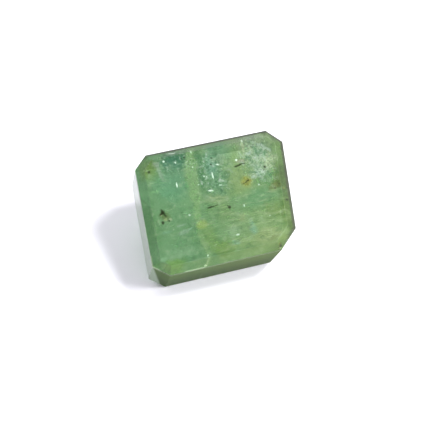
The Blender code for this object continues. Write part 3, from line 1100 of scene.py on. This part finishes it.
class GRANDIDIERITE_OT_grow_crystals(bpy.types.Operator):
    """Grow the small dark crystals"""

    bl_idname = "grandidierite.grow_crystals"
    bl_label = "Grow crystals"

    def execute(self, context):
        settings = context.scene.grandidierite_inclusions
        rng = random.Random(71)
        places = []
        for speck in SPECKS:
            place = seen_at(speck.along, speck.across, speck.depth, tumbled(rng, 30.0))
            places.append(place @ stretched(speck.size, speck.size * rng.uniform(0.6, 0.9), speck.size * 0.5))
            for crumb in range(3):
                along, across = (middle + rng.gauss(0.0, 0.6) * speck.size for middle in speck[:2])
                size = speck.size * rng.uniform(0.25, 0.5)
                place = seen_at(along, across, speck.depth + rng.uniform(-0.03, 0.06), tumbled(rng, 60.0))
                places.append(place @ stretched(size, size * 0.7, size * 0.6))
        return grow_piece("dark_crystals", flakes(10, 11), places, rng, settings.dark_colour,
                          (0.10, 0.16, 0.03), 0.5, 0.25, 8.0)


class GRANDIDIERITE_OT_stain_cracks(bpy.types.Operator):
    """Stain small cracks with brown iron oxide, as overlapping thin flakes"""

    bl_idname = "grandidierite.stain_cracks"
    bl_label = "Stain cracks"

    def execute(self, context):
        settings = context.scene.grandidierite_inclusions
        rng = random.Random(83)
        places = []
        for stain in STAINS:
            for flake in range(5):
                along, across = (middle + rng.gauss(0.0, 0.3) * stain.size for middle in stain[:2])
                size = stain.size * rng.uniform(0.35, 0.8)
                place = seen_at(along, across, stain.depth + rng.uniform(-0.05, 0.05), tumbled(rng, 35.0))
                places.append(place @ stretched(size, size * rng.uniform(0.5, 0.9), 0.012))
        return grow_piece("iron_stains", flakes(12, 13), places, rng, settings.stain_colour,
                          (0.12, 0.12, 0.02), 0.7, 0.5, 6.0)


class GRANDIDIERITE_OT_lay_platelets(bpy.types.Operator):
    """Lay the bright platelets that glint just under the table"""

    bl_idname = "grandidierite.lay_platelets"
    bl_label = "Lay platelets"

    def execute(self, context):
        settings = context.scene.grandidierite_inclusions
        rng = random.Random(97)
        places = []
        for glint in GLINTS:
            place = seen_at(glint.along, glint.across, glint.depth, tumbled(rng, 12.0, glint.turn))
            places.append(place @ stretched(glint.length, glint.width, 0.02))
        white = mixed(settings.pale_colour, (1.0, 1.0, 1.0), 0.6)
        # The faint glow of the platelets is a painted glint, light they give off though they are no lamp
        return grow_piece("bright_platelets", flakes(14, 15), places, rng, white,
                          settings.pale_colour, 1.0, 0.25, 4.0, glow=0.2)


def ground_material(settings):
    """White card."""
    material, tree, shader = new_material("white card")
    place = tree.nodes.new("ShaderNodeTexCoord").outputs["Object"]
    grain = noise(tree, place, 2500.0, 3.0)
    shade = tuple(0.985 * part for part in settings.ground_colour)
    bump = add_node(tree, "ShaderNodeBump", Strength=0.1, Distance=0.02 * MM, Height=grain)
    feed_node(tree, shader, Base_Color=mix_colours(tree, grain, shade, settings.ground_colour),
              Normal=bump.outputs["Normal"], Roughness=0.9, Specular_IOR_Level=0.1)
    return material


def tent_opening(tree, sky, settings):
    """The dim opening at the top of the white tent, which the table mirrors towards the camera."""
    azimuth, elevation = OPENING
    level = math.cos(elevation)
    middle = (level * math.sin(azimuth), -level * math.cos(azimuth), math.sin(elevation))
    look = tree.nodes.new("ShaderNodeTexCoord").outputs["Generated"]
    near = vector_node(tree, "DOT_PRODUCT", look, middle, "Value")
    mask = ramp_between(tree, near, math.cos(OPENING_REACH), math.cos(0.6 * OPENING_REACH))
    dim = tuple(settings.opening_tone * part for part in SKY_COLOUR)
    feed_node(tree, sky, Color=mix_colours(tree, mask, SKY_COLOUR, dim), Strength=settings.sky_strength)


class GRANDIDIERITE_OT_set_stage(bpy.types.Operator):
    """Lay white card under the stone, light it softly and set the camera"""

    bl_idname = "grandidierite.set_stage"
    bl_label = "Set stage"

    def execute(self, context):
        settings = context.scene.grandidierite_stage
        deselect_all()
        bpy.ops.mesh.primitive_plane_add(size=CARD_SIZE, location=(0.0, 0.0, -CARD_DROP))
        card = context.object
        card.name = "white_card"
        card.data.materials.append(ground_material(settings))

        world = bpy.data.worlds.new("white tent")
        context.scene.world = world
        world.use_nodes = True
        tent_opening(world.node_tree, world.node_tree.nodes["Background"], settings)
        self.add_light(context, "key", KEY_LAMP, settings.key_power)
        self.add_light(context, "fill", FILL_LAMP, settings.fill_power)
        self.add_camera(context, settings)
        context.scene.view_settings.view_transform = "Standard"
        deselect_all()
        return {"FINISHED"}

    def add_light(self, context, name, lamp, power):
        """A square soft light that faces the stone."""
        light = bpy.data.lights.new(name, "AREA")
        light.size = lamp.size
        light.energy = power
        holder = bpy.data.objects.new(name, light)
        turn = Matrix.Rotation(math.radians(lamp.azimuth), 4, "Z")
        lift = Matrix.Rotation(math.radians(90.0 - lamp.elevation), 4, "X")
        holder.matrix_world = turn @ lift @ Matrix.Translation((0.0, 0.0, lamp.distance))
        context.scene.collection.objects.link(holder)

    def add_camera(self, context, settings):
        """The camera at the photograph's angle, with the stone a little above the middle of the frame."""
        camera = bpy.data.cameras.new("camera")
        camera.sensor_width = SENSOR_WIDTH
        camera.lens = SENSOR_WIDTH * settings.camera_distance / settings.frame_width
        camera.clip_start = 0.005
        camera.clip_end = 10.0
        eye = bpy.data.objects.new("camera", camera)
        turn = (
            Matrix.Rotation(settings.camera_azimuth, 4, "Z")
            @ Matrix.Rotation(math.pi / 2 - settings.camera_elevation, 4, "X")
            @ Matrix.Rotation(settings.camera_roll, 4, "Z")
        )
        aim = Matrix.Translation((0.0, 0.0, AIM_HEIGHT))
        step_back = Matrix.Translation((0.0, FRAME_SHIFT, settings.camera_distance))
        eye.matrix_world = aim @ turn @ step_back
        context.scene.collection.objects.link(eye)
        context.scene.camera = eye


class GRANDIDIERITE_PT_panel(bpy.types.Panel):
    """Buttons for every step of the stone"""

    bl_idname = "GRANDIDIERITE_PT_panel"
    bl_label = "Grandidierite"
    bl_space_type = "VIEW_3D"
    bl_region_type = "UI"
    bl_category = "Gemstone"

    def draw(self, context):
        layout = self.layout
        scene = context.scene
        for group in (scene.grandidierite_stone, scene.grandidierite_inclusions, scene.grandidierite_stage):
            box = layout.box()
            for name in group.bl_rna.properties.keys():
                if name not in ("rna_type", "name"):
                    box.prop(group, name)
        for step in STEPS:
            layout.operator(step.bl_idname)


STEPS = (
    GRANDIDIERITE_OT_polish_stone,
    GRANDIDIERITE_OT_heal_veil,
    GRANDIDIERITE_OT_crack_feather,
    GRANDIDIERITE_OT_gather_cloud,
    GRANDIDIERITE_OT_spin_silk,
    GRANDIDIERITE_OT_grow_needles,
    GRANDIDIERITE_OT_grow_crystals,
    GRANDIDIERITE_OT_stain_cracks,
    GRANDIDIERITE_OT_lay_platelets,
    GRANDIDIERITE_OT_set_stage,
)
CLASSES = (StoneSettings, InclusionSettings, StageSettings, GRANDIDIERITE_PT_panel) + STEPS


def register():
    for cls in CLASSES:
        bpy.utils.register_class(cls)
    bpy.types.Scene.grandidierite_stone = bpy.props.PointerProperty(type=StoneSettings)
    bpy.types.Scene.grandidierite_inclusions = bpy.props.PointerProperty(type=InclusionSettings)
    bpy.types.Scene.grandidierite_stage = bpy.props.PointerProperty(type=StageSettings)


def unregister():
    del bpy.types.Scene.grandidierite_stage
    del bpy.types.Scene.grandidierite_inclusions
    del bpy.types.Scene.grandidierite_stone
    for cls in reversed(CLASSES):
        bpy.utils.unregister_class(cls)


def main():
    register()
    stone_axes_group()
    growth_zone_group()
    veil_group()
    milkiness_group()
    facet_light_and_shade_group()
    polish_group()
    bpy.ops.grandidierite.polish_stone()
    bpy.ops.grandidierite.heal_veil()
    bpy.ops.grandidierite.crack_feather()
    bpy.ops.grandidierite.gather_cloud()
    bpy.ops.grandidierite.spin_silk()
    bpy.ops.grandidierite.grow_needles()
    bpy.ops.grandidierite.grow_crystals()
    bpy.ops.grandidierite.stain_cracks()
    bpy.ops.grandidierite.lay_platelets()
    bpy.ops.grandidierite.set_stage()


if __name__ == "__main__":
    main()
